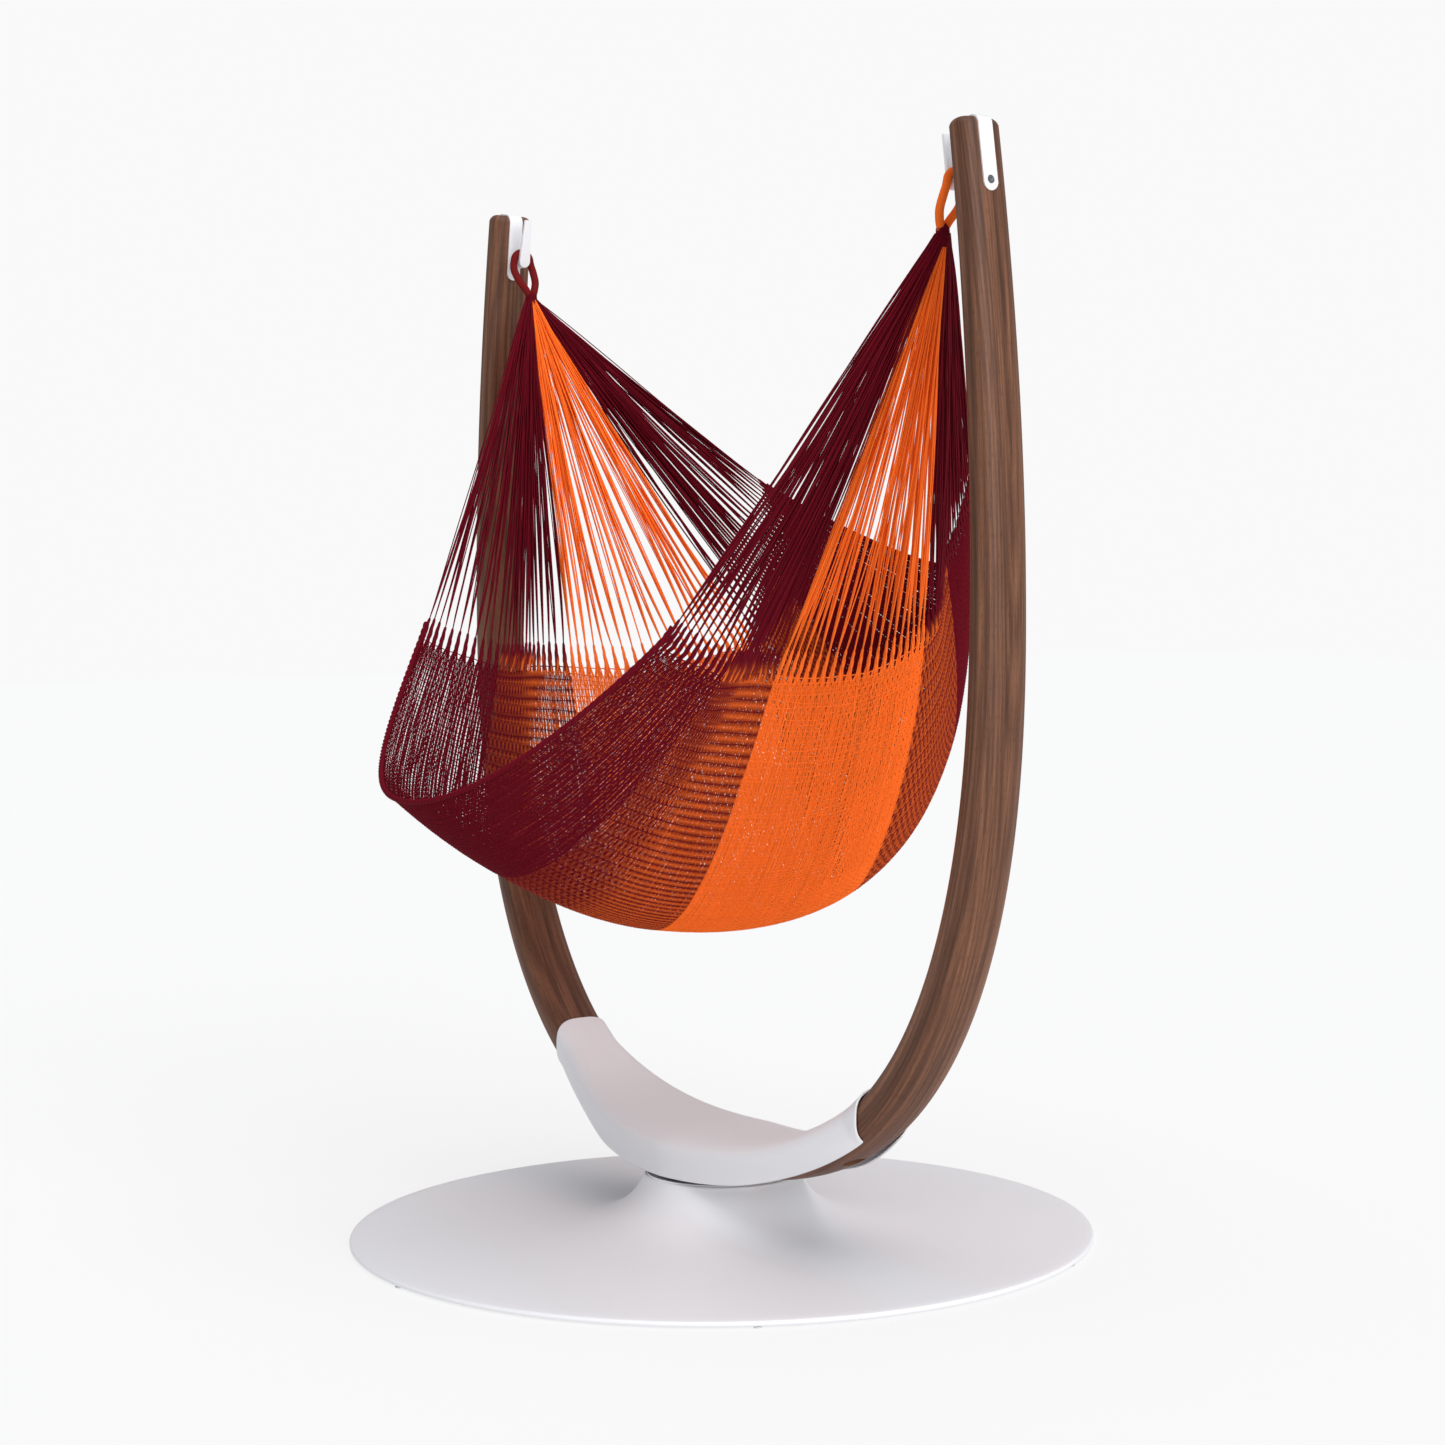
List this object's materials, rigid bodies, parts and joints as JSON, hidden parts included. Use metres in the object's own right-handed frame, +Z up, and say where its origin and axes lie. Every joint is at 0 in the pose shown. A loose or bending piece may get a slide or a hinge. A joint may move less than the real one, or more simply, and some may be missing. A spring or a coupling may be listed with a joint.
{
  "type": "hammock on stand",
  "caption": "Striped net hammock chair in dark red and orange, hung from hooks on the ends of a U-shaped bentwood frame that turns on a round white base.",
  "frame": {"origin": "on the floor under the middle of the round base", "axes": "+Z up; +X toward the right arm of the U as the sitter's guest sees it from the front; -Y is the open front of the seat"},
  "size_m": [1.7114, 1.424, 2.0341],
  "materials": {
    "white_powder_coat": "satin white powder coat on steel",
    "walnut_veneer": "oiled walnut face veneer on laminated wood, satin",
    "zinc_plate": "bright zinc plated fasteners",
    "steel": "turned bearing steel, lightly oiled",
    "pale_rubber": "pale grey, soft, non-marking",
    "black_rubber": "matte black",
    "maroon_yarn": "dark red acrylic yarn, knotted and woven",
    "orange_yarn": "orange acrylic yarn, woven",
    "mixed_yarn": "dark red warp with orange weft, woven"
  },
  "bodies": {
    "base": {"base_plate": "white_powder_coat", "bearing_housing": "steel", "glide_pad_1": "pale_rubber", "glide_pad_2": "pale_rubber", "glide_pad_3": "pale_rubber", "glide_pad_4": "pale_rubber", "glide_pad_5": "pale_rubber", "glide_pad_6": "pale_rubber", "lower_race": "steel", "roller_cage": "zinc_plate"},
    "frame": {"cradle_plate": "steel", "cradle_screw_1": "zinc_plate", "cradle_screw_2": "zinc_plate", "cradle_screw_3": "zinc_plate", "cradle_screw_4": "zinc_plate", "dust_seal": "black_rubber", "left_arm": "walnut_veneer", "left_arm_bolt": "zinc_plate", "left_arm_washer": "zinc_plate", "left_hook": "white_powder_coat", "left_strap_bolt": "zinc_plate", "retaining_nut": "zinc_plate", "retaining_washer": "zinc_plate", "right_arm": "walnut_veneer", "right_arm_bolt": "zinc_plate", "right_arm_washer": "zinc_plate", "right_hook": "white_powder_coat", "right_strap_bolt": "zinc_plate", "saddle": "white_powder_coat", "spindle": "steel", "upper_race": "steel"},
    "hammock": {"back_selvedge": "maroon_yarn", "bed_back_band": "maroon_yarn", "bed_back_stripe": "mixed_yarn", "bed_front_band": "maroon_yarn", "bed_front_stripe": "mixed_yarn", "bed_middle": "orange_yarn", "front_selvedge": "maroon_yarn", "left_back_strands": "maroon_yarn", "left_end_loop": "maroon_yarn", "left_front_strands": "maroon_yarn", "left_loop_binding": "maroon_yarn", "left_middle_strands": "orange_yarn", "right_back_strands": "maroon_yarn", "right_end_loop": "orange_yarn", "right_front_strands": "maroon_yarn", "right_loop_binding": "maroon_yarn", "right_middle_strands": "orange_yarn"}
  },
  "joints": [
    {"name": "swivel", "type": "hinge", "parent": "base", "child": "frame", "pos_m": [0, 0, 0.12], "axis": [0, 0, 1], "continuous": true},
    {"name": "hammock_swing", "type": "hinge", "parent": "frame", "child": "hammock", "pos_m": [0, 0, 1.928], "axis": [1, 0, 0], "range_deg": [-25, 25]}
  ]
}
